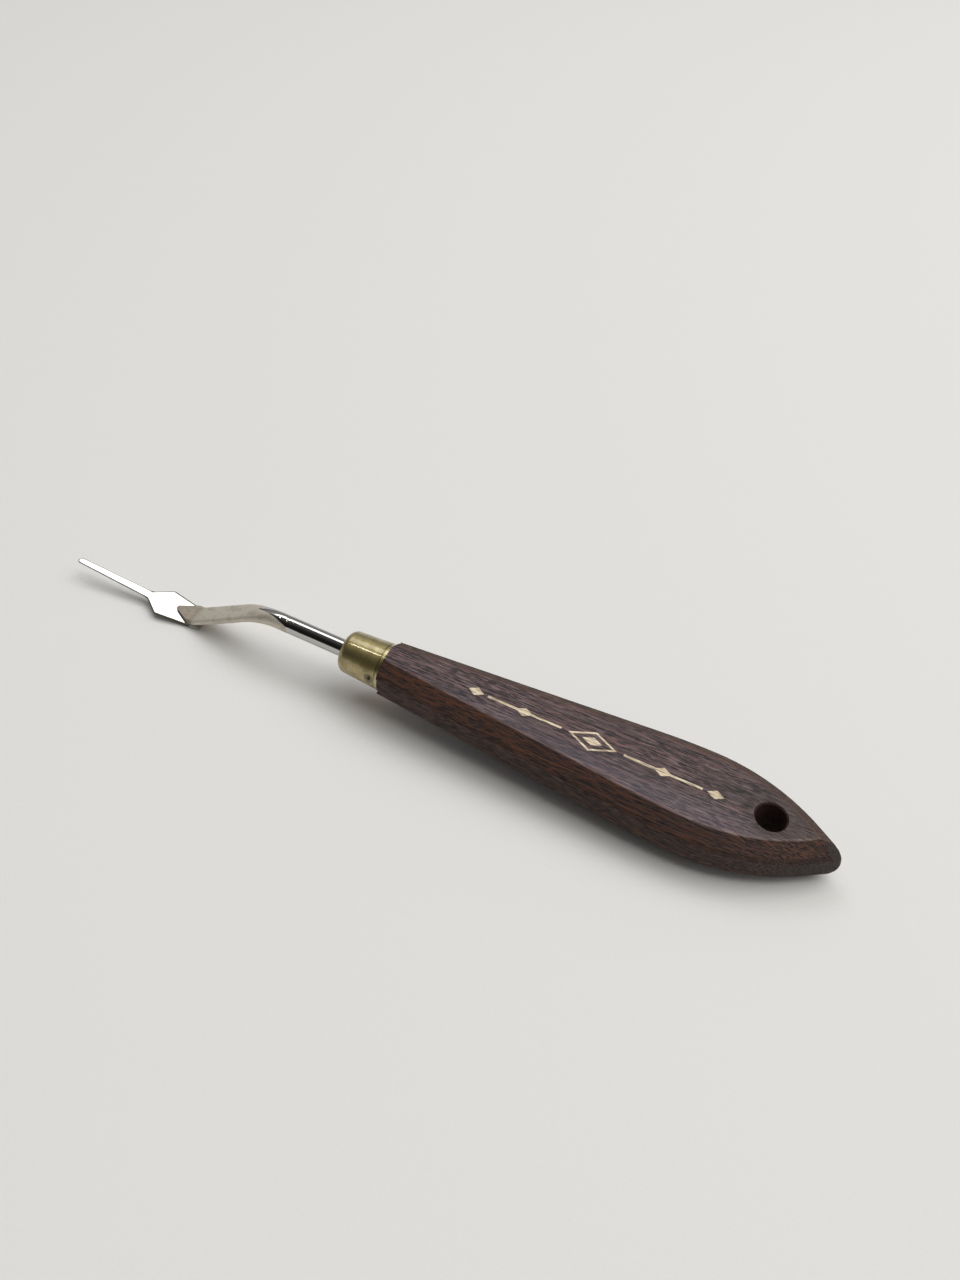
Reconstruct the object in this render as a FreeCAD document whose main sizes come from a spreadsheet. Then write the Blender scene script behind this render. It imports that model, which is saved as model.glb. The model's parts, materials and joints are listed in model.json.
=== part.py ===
import FreeCAD, Part
import math
import os
import Sketcher

# A small palette knife, lying as it does on a table: on the heel of its blade and on the underside of its tail.
#
# The four pieces are drawn about the axis of the rod. X runs along the knife from the blade's tip to the
# handle's tail, with X = 0 at the wooden shoulder that the ferrule butts against. Y is across the knife and
# Z is up. Each body's Placement then tips the whole knife by the same small angle, so that it rests on Z = 0,
# with the origin under the middle of its length.

# ---------------------------------------------------------------- driving sizes, in mm and degrees

SIZES = (
    ("rod_diameter", 3.8, "round steel of the shank and its tang"),
    ("rod_showing", 16.1, "straight round rod in front of the ferrule"),
    ("tang_length", 38.0, "rod hidden in the wood, behind the shoulder"),
    ("tang_point", 1.2, "length of the tapered end of the tang"),
    ("tang_tip_diameter", 2.6, "blunt end of the tang"),
    ("upper_bend_radius", 18.0, "crank, where the rod turns down"),
    ("crank_angle", 31.9, "slope of the neck below the rod's axis"),
    ("neck_length", 15.4, "straight part of the neck"),
    ("neck_width", 5.5, "width of the flattened neck"),
    ("neck_thickness", 1.6, "thickness of the flattened neck"),
    ("press_runout", 2.5, "neck below the crank before its flats are full"),
    ("neck_edge_angle", 86.0, "way the neck's surface faces where its flat meets its side"),
    ("lower_bend_radius", 3.0, "turn from the neck into the foot"),
    ("sole_depth", 0.7, "ground sole of the foot, below the middle of its thickness"),
    ("foot_thickness", 1.2, "foot at its root"),
    ("foot_tip_thickness", 0.5, "foot at its point"),
    ("foot_length", 4.7, "foot from its root to its point"),
    ("foot_root_width", 5.3, "leaf of the foot at its widest"),
    ("foot_point_width", 0.8, "leaf of the foot at its point, before rounding"),
    ("foot_point_radius", 0.35, "rounding of the leaf's point"),
    ("neck_waist_length", 3.4, "stretch where the neck narrows to the leaf"),
    ("blade_pitch", 4.1, "rise of the blade towards its tip"),
    ("blade_length", 35.4, "heel to tip"),
    ("blade_thickness", 0.55, "blade at the heel"),
    ("blade_tip_thickness", 0.28, "blade at the tip"),
    ("heel_overhang", 2.9, "blade behind the root of the foot"),
    ("heel_width", 4.7, "square end of the blade"),
    ("blade_shoulder_width", 7.7, "widest part of the blade"),
    ("blade_shoulder_station", 11.2, "heel to the widest part"),
    ("blade_shoulder_radius", 0.9, "rounding of the two shoulders"),
    ("finger_root_station", 15.2, "heel to the root of the finger"),
    ("finger_root_width", 2.1, "finger at its root"),
    ("finger_root_radius", 3.0, "hollow curve into the finger"),
    ("finger_tip_width", 1.45, "finger at its round tip"),
    ("ground_edge_width", 0.2, "width of the ground edge round the blade's top"),
    ("ground_edge_depth", 0.08, "depth of the ground edge"),
    ("finger_tip_flat", 0.03, "hair of flat between the two arcs of the tip"),
    ("ferrule_length", 10.2, "ferrule along the knife"),
    ("ferrule_front_diameter", 9.1, "ferrule at its nose"),
    ("ferrule_rear_diameter", 10.3, "ferrule at the wood"),
    ("ferrule_wall", 0.5, "brass thickness"),
    ("ferrule_nose_radius", 1.7, "rounding of the nose"),
    ("ferrule_rim_width", 0.7, "bright rim beside the wood"),
    ("ferrule_groove_width", 0.3, "groove that sets the rim apart"),
    ("ferrule_groove_depth", 0.15, "groove that sets the rim apart"),
    ("dimple_station", 2.0, "punched dimple, in front of the shoulder"),
    ("dimple_turn", 170.0, "place of the dimple round the ferrule, from +Y over the top"),
    ("dimple_angle", 110.0, "point angle of the punch"),
    ("dimple_sink", 0.55, "depth of the dimple below the brass"),
    ("rod_clearance", 0.05, "round the rod, in the ferrule and in the wood"),
    ("ferrule_clearance", 0.05, "between the brass and the wooden spigot"),
    ("spigot_end_gap", 0.2, "in front of the spigot, inside the ferrule"),
    ("tang_end_gap", 0.5, "behind the tang, at the bottom of its bore"),
    ("handle_length", 95.0, "shoulder to tail"),
    ("handle_thickness", 10.4, "planed thickness of the wood"),
    ("handle_front_width", 10.8, "wood at the shoulder"),
    ("belly_width", 21.9, "handle at its widest"),
    ("belly_station", 67.1, "shoulder to the widest part"),
    ("flank_length", 56.0, "shoulder to the end of the straight flanks"),
    ("tail_straight", 7.7, "straight end of each side of the tail"),
    ("tail_trim", 0.75, "sharp point rounded off the tail, in plan"),
    ("tail_side_radius", 2.5, "rounding of the tail, seen from the side"),
    ("tail_side_slope", 40.0, "slope from that rounding up to the broad faces"),
    ("bevel_width", 3.2, "bevel measured across the broad faces"),
    ("bevel_depth", 2.4, "bevel measured down the sides"),
    ("edge_sanding", 1.1, "rounding of the broad faces' edges"),
    ("side_easing", 0.6, "flat cut between the bevels and the sides"),
    ("shoulder_step", 0.1, "wood standing proud of the ferrule's rear edge"),
    ("shoulder_ease", 0.5, "length over which the front corners are turned back"),
    ("hanging_hole_diameter", 6.0, "hole through the tail"),
    ("hanging_hole_setback", 14.5, "tail to the centre of the hole"),
    ("hanging_hole_ease", 0.25, "chamfer of the hole's rims"),
)

doc = FreeCAD.newDocument("palette_knife")
sheet = doc.addObject("Spreadsheet::Sheet", "Sizes")
for row, (alias, value, meaning) in enumerate(SIZES, start=1):
    sheet.set(f"A{row}", alias)
    sheet.set(f"B{row}", str(value))
    sheet.set(f"C{row}", meaning)
    sheet.setAlias(f"B{row}", alias)
doc.recompute()

# ---------------------------------------------------------------- places worked out from the sizes

# The route of the shank's middle plane goes from the rod's axis round the upper bend, down the neck and
# round the lower bend to the root of the foot. The seat, where the blade's top face meets the ground sole of
# the foot, is a little below it.
PLACES = (
    ("bend_start_x", "-(Sizes.ferrule_length + Sizes.rod_showing)"),
    ("neck_start_x", "bend_start_x - Sizes.upper_bend_radius * sin(Sizes.crank_angle)"),
    ("neck_start_z", "-Sizes.upper_bend_radius * (1 - cos(Sizes.crank_angle))"),
    ("neck_end_x", "neck_start_x - Sizes.neck_length * cos(Sizes.crank_angle)"),
    ("neck_end_z", "neck_start_z - Sizes.neck_length * sin(Sizes.crank_angle)"),
    ("root_x", "neck_end_x - Sizes.lower_bend_radius * (sin(Sizes.crank_angle) + sin(Sizes.blade_pitch))"),
    ("root_z", "neck_end_z - Sizes.lower_bend_radius * (cos(Sizes.blade_pitch) - cos(Sizes.crank_angle))"),
    ("seat_x", "root_x - Sizes.sole_depth * sin(Sizes.blade_pitch)"),
    ("seat_z", "root_z - Sizes.sole_depth * cos(Sizes.blade_pitch)"),
    ("heel_x", "seat_x + Sizes.heel_overhang * cos(Sizes.blade_pitch)"
               " - Sizes.blade_thickness * sin(Sizes.blade_pitch)"),
    ("heel_z", "seat_z - Sizes.heel_overhang * sin(Sizes.blade_pitch)"
               " - Sizes.blade_thickness * cos(Sizes.blade_pitch)"),
    ("blade_reach", "Sizes.blade_length - Sizes.heel_overhang"),
    ("tip_x", "seat_x - blade_reach * cos(Sizes.blade_pitch)"),
    ("tip_z", "seat_z + blade_reach * sin(Sizes.blade_pitch)"),
    # Each side of the tail is an arc, level at the belly, and a straight that runs from it to the point on the
    # axis. The tangents of the arc at its two ends are equally long.
    ("apex_x", "Sizes.handle_length + Sizes.tail_trim"),
    ("tail_run", "apex_x - Sizes.belly_station"),
    ("tail_tangent", "(tail_run ^ 2 + Sizes.belly_width ^ 2 / 4 - Sizes.tail_straight ^ 2)"
                     " / (2 * (tail_run + Sizes.tail_straight))"),
    ("tail_sine", "Sizes.belly_width / 2 / (tail_tangent + Sizes.tail_straight)"),
    ("tail_cosine", "(tail_run - tail_tangent) / (tail_tangent + Sizes.tail_straight)"),
    ("tail_arc", "tail_tangent * tail_sine / (1 - tail_cosine)"),
    ("tail_radius", "Sizes.tail_trim * tail_sine / (1 - tail_sine)"),
    # Sanding takes a little more off each side of the underside's flat, which narrows to a point at the tail.
    ("sanding_setback", "Sizes.edge_sanding * tan(atan(Sizes.bevel_depth / Sizes.bevel_width) / 2)"),
    ("flat_end_x", "apex_x - (Sizes.bevel_width + sanding_setback) / tail_sine"),
    # Seen from the side, two slopes meet at a point that is rounded off, so that it ends with the tail.
    ("side_point_x", "Sizes.handle_length + Sizes.tail_side_radius * (1 / sin(Sizes.tail_side_slope) - 1)"),
    ("side_top_x", "side_point_x - Sizes.handle_thickness / 2 / tan(Sizes.tail_side_slope)"),
    # The knife rests on the heel's lower edge and on the end of the flat underside of the handle.
    ("rest_rise", "-Sizes.handle_thickness / 2 - heel_z"),
    ("rest_run", "flat_end_x - heel_x"),
    ("rest_span", "sqrt(rest_run ^ 2 + rest_rise ^ 2)"),
    ("tilt_sine", "rest_rise / rest_span"),
    ("tilt_cosine", "rest_run / rest_span"),
    ("tilt", "asin(tilt_sine) / (1 deg)"),
    ("front_reach", "tip_x * tilt_cosine + tip_z * tilt_sine"),
    ("rear_reach", "(Sizes.handle_length - Sizes.tail_side_radius) * tilt_cosine + Sizes.tail_side_radius"),
    ("origin_x", "-(front_reach + rear_reach) / 2"),
    ("origin_z", "heel_x * tilt_sine - heel_z * tilt_cosine"),
)

layout = doc.addObject("App::VarSet", "Layout")
for name, formula in PLACES:
    layout.addProperty("App::PropertyFloat", name, "Places")
    layout.setExpression(name, formula)
doc.recompute()

# ---------------------------------------------------------------- small helpers


def new_body(label):
    body = doc.addObject("PartDesign::Body", label)
    body.Label = label
    return body


def origin_plane(body, role):
    for feature in body.Origin.OriginFeatures:
        if feature.Role == role:
            return feature
    raise ValueError("no plane " + role)


def new_sketch(body, name, role, offset=None):
    """A sketch on one of the body's own origin planes. Offset binds parts of its AttachmentOffset."""
    sketch = body.newObject("Sketcher::SketchObject", name)
    sketch.AttachmentSupport = [(origin_plane(body, role), "")]
    sketch.MapMode = "FlatFace"
    if offset:
        sketch.AttachmentOffset = FreeCAD.Placement(FreeCAD.Vector(), FreeCAD.Rotation(offset["axis"], 1))
        for key, formula in offset["formulas"]:
            sketch.setExpression("AttachmentOffset." + key, formula)
        doc.recompute()
    return sketch


def value_of(sketch, formula):
    found = sketch.evalExpression(formula)
    return float(getattr(found, "Value", found))


def bind(sketch, number, name, formula):
    sketch.renameConstraint(number, name)
    sketch.setExpression("Constraints." + name, formula)


def pin(sketch, geometry, end, name, across, up):
    """Hold one point of a sketch at two formulas, measured from the sketch's origin."""
    for kind, axis, formula in (("DistanceX", -2, across), ("DistanceY", -1, up)):
        if formula == "0":
            sketch.addConstraint(Sketcher.Constraint("PointOnObject", geometry, end, axis))
        else:
            rule = Sketcher.Constraint(kind, -1, 1, geometry, end, value_of(sketch, formula))
            bind(sketch, sketch.addConstraint(rule), name + "_" + kind[-1].lower(), formula)


def closed_outline(sketch, corners):
    """A closed outline of straight sides. A corner with a radius is rounded by a tangent arc.

    Each corner is (name, across, up) or (name, across, up, radius), and all but the name are formulas.
    """
    count = len(corners)
    points = [FreeCAD.Vector(value_of(sketch, c[1]), value_of(sketch, c[2]), 0) for c in corners]
    radii = [value_of(sketch, c[3]) if len(c) > 3 else 0 for c in corners]

    starts, ends = [], []
    for i in range(count):
        towards_last = (points[i - 1] - points[i]).normalize()
        towards_next = (points[(i + 1) % count] - points[i]).normalize()
        half_angle = towards_last.getAngle(towards_next) / 2
        setback = radii[i] / math.tan(half_angle)
        ends.append(points[i] + towards_last * setback)
        starts.append(points[i] + towards_next * setback)
    sides = [
        sketch.addGeometry(Part.LineSegment(starts[i], ends[(i + 1) % count]), False) for i in range(count)
    ]
    for i, corner in enumerate(corners):
        before, after = sides[i - 1], sides[i]
        if radii[i] == 0:
            sketch.addConstraint(Sketcher.Constraint("Coincident", before, 2, after, 1))
            pin(sketch, after, 1, corner[0], corner[1], corner[2])
            continue
        mark = sketch.addGeometry(Part.Point(points[i]), True)
        pin(sketch, mark, 1, corner[0], corner[1], corner[2])
        sketch.addConstraint(Sketcher.Constraint("PointOnObject", mark, 1, before))
        sketch.addConstraint(Sketcher.Constraint("PointOnObject", mark, 1, after))
        inward = (ends[i] - points[i]) + (starts[i] - points[i])
        inward.normalize()
        centre = points[i] + inward * math.hypot(radii[i], (ends[i] - points[i]).Length)
        middle = centre - inward * radii[i]
        arc = sketch.addGeometry(Part.Arc(ends[i], middle, starts[i]), False)
        turns_left = (points[i] - points[i - 1]).cross(points[(i + 1) % count] - points[i]).z > 0
        first, last = (1, 2) if turns_left else (2, 1)
        sketch.addConstraint(Sketcher.Constraint("Tangent", before, 2, arc, first))
        sketch.addConstraint(Sketcher.Constraint("Tangent", arc, last, after, 1))
        rule = Sketcher.Constraint("Radius", arc, radii[i])
        bind(sketch, sketch.addConstraint(rule), corner[0] + "_radius", corner[3])
    return sketch


def circle(sketch, across, up, diameter):
    centre = FreeCAD.Vector(value_of(sketch, across), value_of(sketch, up), 0)
    ring = sketch.addGeometry(Part.Circle(centre, FreeCAD.Vector(0, 0, 1), value_of(sketch, diameter) / 2))
    pin(sketch, ring, 3, "centre", across, up)
    rule = Sketcher.Constraint("Diameter", ring, value_of(sketch, diameter))
    bind(sketch, sketch.addConstraint(rule), "bore", diameter)
    return sketch


def add_feature(body, kind, name, profile, **settings):
    feature = body.newObject("PartDesign::" + kind, name)
    if profile:
        feature.Profile = profile
        profile.Visibility = False
    for key, setting in settings.items():
        setattr(feature, key, setting)
    return feature


def turned(body, kind, name, sketch):
    """Turn a profile drawn in the XY plane about the knife's axis."""
    return add_feature(body, kind, name, sketch, ReferenceAxis=(origin_plane(body, "X_Axis"), [""]), Angle=360)


def punched(body, kind, name, backing, rim):
    """The punch's cone, for the dimple in the brass, its back, and its seat in the wood.

    The cone points at the knife's axis. Its side stands off the dimple's own side by the backing, and its rim
    stands at the given height above the brass.
    """
    feature = body.newObject("PartDesign::" + kind, name)
    feature.Placement = FreeCAD.Placement(FreeCAD.Vector(), FreeCAD.Rotation(FreeCAD.Vector(1, 0, 0), 1))
    feature.setExpression("Placement.Rotation.Angle", "Sizes.dimple_turn - 90")
    half_angle = "(Sizes.dimple_angle / 2)"
    below = f"(Sizes.dimple_sink + ({backing}) / sin({half_angle}))"
    feature.Radius1 = 0
    feature.setExpression("Height", f"{below} + {rim}")
    feature.setExpression("Radius2", f"({below} + {rim}) * tan({half_angle})")
    point = f"(Sizes.ferrule_rear_diameter / 2 - {below})"
    feature.setExpression("Placement.Base.x", "-Sizes.dimple_station")
    feature.setExpression("Placement.Base.y", f"{point} * cos(Sizes.dimple_turn)")
    feature.setExpression("Placement.Base.z", f"{point} * sin(Sizes.dimple_turn)")
    return feature


# Points nearer than this are one point.
TOUCHING = 0.001


def level_edges(shape, height, beyond=-math.inf):
    """Edges that run level at plus or minus one height, with at least one end beyond a station."""
    names = []
    for number, edge in enumerate(shape.Edges, start=1):
        ends = [vertex.Point for vertex in edge.Vertexes]
        at_height = all(math.isclose(abs(end.z), height, abs_tol=TOUCHING) for end in ends)
        if at_height and ends[0].z * ends[-1].z >= 0 and max(end.x for end in ends) > beyond:
            names.append(f"Edge{number}")
    return names


def lie_at_rest(body):
    body.Placement = FreeCAD.Placement(FreeCAD.Vector(), FreeCAD.Rotation(FreeCAD.Vector(0, 1, 0), 1))
    body.setExpression("Placement.Rotation.Angle", "Layout.tilt")
    body.setExpression("Placement.Base.x", "Layout.origin_x")
    body.setExpression("Placement.Base.z", "Layout.origin_z")


# ---------------------------------------------------------------- the blade


def make_blade():
    """Thin steel, cut to a shield with a long finger, and ground thinner towards the tip.

    It is drawn flat: its top face is Z = 0, and X = 0 is where the root of the foot stands on it.
    """
    body = new_body("blade")
    heel = "Sizes.heel_overhang"
    shoulder = "Sizes.heel_overhang - Sizes.blade_shoulder_station"
    finger = "Sizes.heel_overhang - Sizes.finger_root_station"
    tip = "-Layout.blade_reach"
    half_tip = "Sizes.finger_tip_width / 2"
    tip_round = "(Sizes.finger_tip_width - Sizes.finger_tip_flat) / 2"
    side = (
        ("heel", heel, "Sizes.heel_width / 2"),
        ("shoulder", shoulder, "Sizes.blade_shoulder_width / 2", "Sizes.blade_shoulder_radius"),
        ("finger", finger, "Sizes.finger_root_width / 2", "Sizes.finger_root_radius"),
        ("tip", tip, half_tip, tip_round),
    )
    other_side = tuple((c[0] + "_near", c[1], f"-({c[2]})", *c[3:]) for c in reversed(side))
    outline = closed_outline(new_sketch(body, "blade_outline", "XY_Plane"), side + other_side)
    sheet_steel = add_feature(body, "Pad", "blade_sheet", outline, Reversed=True)
    sheet_steel.setExpression("Length", "Sizes.blade_thickness")
    doc.recompute()

    wedge = closed_outline(new_sketch(body, "blade_taper", "XZ_Plane"), (
        ("wedge_heel", heel, "-Sizes.blade_thickness"),
        ("wedge_tip", tip, "-Sizes.blade_tip_thickness"),
        ("wedge_under", tip, "-2 * Sizes.blade_thickness"),
    ))
    tapered = add_feature(body, "Pocket", "blade_distal_taper", wedge, Type="ThroughAll", Midplane=True)
    doc.recompute()

    # The stamped edge is ground back all round the top, so that it has no burr.
    ground = body.newObject("PartDesign::Chamfer", "ground_edge")
    ground.Base = (tapered, level_edges(tapered.Shape, 0))
    ground.ChamferType = "Two distances"
    ground.setExpression("Size", "Sizes.ground_edge_depth")
    ground.setExpression("Size2", "Sizes.ground_edge_width")
    doc.recompute()

    body.Placement = FreeCAD.Placement(FreeCAD.Vector(), FreeCAD.Rotation(FreeCAD.Vector(0, 1, 0), 1))
    body.setExpression("Placement.Rotation.Angle", "Layout.tilt + Sizes.blade_pitch")
    turned_x = "Layout.seat_x * Layout.tilt_cosine + Layout.seat_z * Layout.tilt_sine"
    turned_z = "Layout.seat_z * Layout.tilt_cosine - Layout.seat_x * Layout.tilt_sine"
    body.setExpression("Placement.Base.x", f"Layout.origin_x + {turned_x}")
    body.setExpression("Placement.Base.z", f"Layout.origin_z + {turned_z}")
    return body


# ---------------------------------------------------------------- the shank


# The press starts at the top of the bend and its flats are full a little way down the neck. Its sections stand
# a quarter of the bend apart, with one more on the round rod and one more on the flat neck.
BEND_STEPS = 4
# The rod gets thin a little sooner than it gets wide.
THINNING_LEAD = 0.8
BEND_LENGTH = "Sizes.upper_bend_radius * Sizes.crank_angle * pi / 180"
ROD_LEAD = f"{BEND_LENGTH} / {BEND_STEPS}"
LOFT_END = "2 * Sizes.press_runout"
# Where side and flat meet on a section that is still round.
ROUND_ANGLE = 45


def on_rod(length):
    """A place on the straight rod, by its distance behind the bend: along, up, slope."""
    return f"Layout.bend_start_x + {length}", "0", "0"


def on_bend(share):
    """A place on the upper bend, by the share of its angle: along, up, slope."""
    angle = f"{share} * Sizes.crank_angle"
    along = f"Layout.bend_start_x - Sizes.upper_bend_radius * sin({angle})"
    up = f"-Sizes.upper_bend_radius * (1 - cos({angle}))"
    return along, up, angle


def on_neck(length):
    """A place on the neck, by its distance below the bend: along, up, slope."""
    along = f"Layout.neck_start_x - {length} * cos(Sizes.crank_angle)"
    up = f"Layout.neck_start_z - {length} * sin(Sizes.crank_angle)"
    return along, up, "Sizes.crank_angle"


def pressed_section(body, name, place, width, thickness, edge_angle):
    """Section of the pressed rod, square to its route: two slightly crowned flats and two rounded sides.

    The edge angle is the way that the surface faces where side and flat meet. At 45 degrees, with width and
    thickness alike, the section is round.
    """
    along, up, slope = place
    sketch = new_sketch(body, name, "YZ_Plane", {
        "axis": FreeCAD.Vector(-1, 0, 0),
        "formulas": (("Base.z", along), ("Base.y", up), ("Rotation.Angle", slope)),
    })
    # The crown's radius is larger than the side's by this much, so that they share a tangent.
    excess = f"(({width} - {thickness}) / 2 / (cos({edge_angle}) + sin({edge_angle}) - 1))"
    side_radius = f"({width} / 2 - {excess} * cos({edge_angle}))"
    crown_radius = f"({side_radius} + {excess})"
    across = f"({crown_radius} * cos({edge_angle}))"
    high = f"({side_radius} * sin({edge_angle}))"
    y, z = value_of(sketch, across), value_of(sketch, high)
    half_width, half_thickness = value_of(sketch, width) / 2, value_of(sketch, thickness) / 2
    corners = [FreeCAD.Vector(sign_y * y, sign_z * z, 0) for sign_y, sign_z in ((1, -1), (1, 1), (-1, 1), (-1, -1))]
    middles = (
        FreeCAD.Vector(half_width, 0, 0), FreeCAD.Vector(0, half_thickness, 0),
        FreeCAD.Vector(-half_width, 0, 0), FreeCAD.Vector(0, -half_thickness, 0),
    )
    arcs = []
    for number, middle in enumerate(middles):
        arc = Part.Arc(corners[number], middle, corners[(number + 1) % 4])
        arcs.append(sketch.addGeometry(arc, False))
    signs = (("", "-"), ("", ""), ("-", ""), ("-", "-"))
    for number, arc in enumerate(arcs):
        sketch.addConstraint(Sketcher.Constraint("Coincident", arcs[number - 1], 2, arc, 1))
        sign_y, sign_z = signs[number]
        pin(sketch, arc, 1, f"corner_{number}", sign_y + across, sign_z + high)
    for number, arc in enumerate(arcs):
        radius = side_radius if number % 2 == 0 else crown_radius
        rule = Sketcher.Constraint("Radius", arc, value_of(sketch, radius))
        bind(sketch, sketch.addConstraint(rule), f"radius_{number}", radius)
    return sketch


def pressed_foot_route(body):
    """The middle line of the lower neck and the foot, as a line, an arc and a line."""
    sketch = new_sketch(body, "foot_route", "XZ_Plane")
    start = on_neck(LOFT_END)[:2]
    bend = ("Layout.neck_end_x", "Layout.neck_end_z")
    root = ("Layout.root_x", "Layout.root_z")
    point = (
        "Layout.root_x - Sizes.foot_length * cos(Sizes.blade_pitch)",
        "Layout.root_z + Sizes.foot_length * sin(Sizes.blade_pitch)",
    )
    corners = [FreeCAD.Vector(value_of(sketch, x), value_of(sketch, z), 0) for x, z in (start, bend, root, point)]
    down = (corners[1] - corners[0]).normalize()
    radius = value_of(sketch, "Sizes.lower_bend_radius")
    centre = corners[1] + FreeCAD.Vector(down.y, -down.x, 0) * radius
    sag = ((corners[1] + corners[2]) / 2 - centre).normalize() * radius
    lower_neck = sketch.addGeometry(Part.LineSegment(corners[0], corners[1]), False)
    turn = sketch.addGeometry(Part.Arc(corners[1], centre + sag, corners[2]), False)
    sole = sketch.addGeometry(Part.LineSegment(corners[2], corners[3]), False)
    pin(sketch, lower_neck, 1, "start", *start)
    pin(sketch, lower_neck, 2, "bend", *bend)
    pin(sketch, sole, 1, "root", *root)
    pin(sketch, sole, 2, "point", *point)
    # A sketch's arc runs anticlockwise, so this one starts at the root of the foot.
    sketch.addConstraint(Sketcher.Constraint("Tangent", lower_neck, 2, turn, 2))
    sketch.addConstraint(Sketcher.Constraint("Coincident", turn, 1, sole, 1))
    return sketch


def seat_frame(role):
    """Sketches of the foot share the blade's frame: origin at the foot's root, on the sole."""
    if role == "XZ_Plane":
        axis, angle, height = FreeCAD.Vector(0, 0, -1), "Sizes.blade_pitch", "Base.y"
    else:
        axis, angle, height = FreeCAD.Vector(0, 1, 0), "Sizes.blade_pitch", "Base.z"
    return {
        "axis": axis,
        "formulas": (("Base.x", "Layout.seat_x"), (height, "Layout.seat_z"), ("Rotation.Angle", angle)),
    }


def eased(share):
    """From 0 to 1, starting and ending gently."""
    return share * share * (3 - 2 * share)


def make_shank():
    """One forging: a round rod, cranked, pressed flat below the crank, and ended in a leaf-shaped foot."""
    body = new_body("shank")
    rod = "Sizes.rod_diameter"
    # Places on the way down, each with the share of the pressing that is done there.
    press_steps = BEND_STEPS + 1
    places = [(on_rod(ROD_LEAD), 0)]
    places += [(on_bend(step / BEND_STEPS), step / press_steps) for step in range(press_steps)]
    places += [(on_neck("Sizes.press_runout"), 1), (on_neck(LOFT_END), 1)]
    sections = []
    for number, (place, pressed) in enumerate(places):
        widening = eased(pressed)
        thinning = eased(pressed ** THINNING_LEAD)
        width = f"({rod} + {widening} * (Sizes.neck_width - {rod}))"
        thickness = f"({rod} + {thinning} * (Sizes.neck_thickness - {rod}))"
        edge_angle = f"({ROUND_ANGLE} + {thinning} * (Sizes.neck_edge_angle - {ROUND_ANGLE}))"
        sections.append(pressed_section(body, f"pressing_{number}", place, width, thickness, edge_angle))
    add_feature(body, "AdditiveLoft", "pressed_crank", sections[0], Sections=sections[1:])
    doc.recompute()

    route = pressed_foot_route(body)
    along, up, slope = on_neck(LOFT_END)
    # Turned half round, so that the section faces down the route.
    section = pressed_section(body, "foot_section", (along, up, f"({slope} + 180)"),
                              "Sizes.neck_width", "Sizes.neck_thickness", "Sizes.neck_edge_angle")
    foot = add_feature(body, "AdditivePipe", "lower_neck_and_foot", section)
    foot.Spine = (route, ["Edge1", "Edge2", "Edge3"])
    doc.recompute()

    thinning = closed_outline(new_sketch(body, "foot_thinning", "XZ_Plane", seat_frame("XZ_Plane")), (
        ("thin_point", "-Sizes.foot_length - Sizes.neck_thickness", "Sizes.foot_tip_thickness"),
        ("thin_root", "0", "Sizes.foot_thickness"),
        ("thin_above", "-Sizes.foot_length - Sizes.neck_thickness", "2 * Sizes.neck_thickness"),
    ))
    add_feature(body, "Pocket", "foot_ground_thin", thinning, Type="ThroughAll", Midplane=True)
    doc.recompute()

    sole = closed_outline(new_sketch(body, "sole_grinding", "XZ_Plane", seat_frame("XZ_Plane")), (
        ("sole_heel", "2 * Sizes.heel_overhang", "0"),
        ("sole_point", "-2 * Sizes.foot_length", "0"),
        ("sole_point_under", "-2 * Sizes.foot_length", "-Sizes.neck_thickness"),
        ("sole_heel_under", "2 * Sizes.heel_overhang", "-Sizes.neck_thickness"),
    ))
    add_feature(body, "Pocket", "sole_ground_flat", sole, Type="ThroughAll", Midplane=True)
    doc.recompute()

    leaf = closed_outline(new_sketch(body, "leaf_outline", "XY_Plane", seat_frame("XY_Plane")), (
        ("waist", "Sizes.neck_waist_length", "Sizes.neck_width / 2"),
        ("root", "0", "Sizes.foot_root_width / 2"),
        ("point", "-Sizes.foot_length", "Sizes.foot_point_width / 2", "Sizes.foot_point_radius"),
        ("point_near", "-Sizes.foot_length", "-Sizes.foot_point_width / 2", "Sizes.foot_point_radius"),
        ("root_near", "0", "-Sizes.foot_root_width / 2"),
        ("waist_near", "Sizes.neck_waist_length", "-Sizes.neck_width / 2"),
        ("clear_waist_near", "Sizes.neck_waist_length", "-Sizes.neck_width"),
        ("clear_point_near", "-2 * Sizes.foot_length", "-Sizes.neck_width"),
        ("clear_point", "-2 * Sizes.foot_length", "Sizes.neck_width"),
        ("clear_waist", "Sizes.neck_waist_length", "Sizes.neck_width"),
    ))
    add_feature(body, "Pocket", "leaf_cut", leaf, Type="ThroughAll", Midplane=True)
    doc.recompute()

    tang = closed_outline(new_sketch(body, "rod_profile", "XY_Plane"), (
        ("rod_front", f"Layout.bend_start_x + {ROD_LEAD}", "0"),
        ("rod_side", f"Layout.bend_start_x + {ROD_LEAD}", f"{rod} / 2"),
        ("tang_side", "Sizes.tang_length - Sizes.tang_point", f"{rod} / 2"),
        ("tang_end", "Sizes.tang_length", "Sizes.tang_tip_diameter / 2"),
        ("tang_axis", "Sizes.tang_length", "0"),
    ))
    turned(body, "Revolution", "rod_and_tang", tang)
    lie_at_rest(body)
    return body


# ---------------------------------------------------------------- the ferrule


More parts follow.
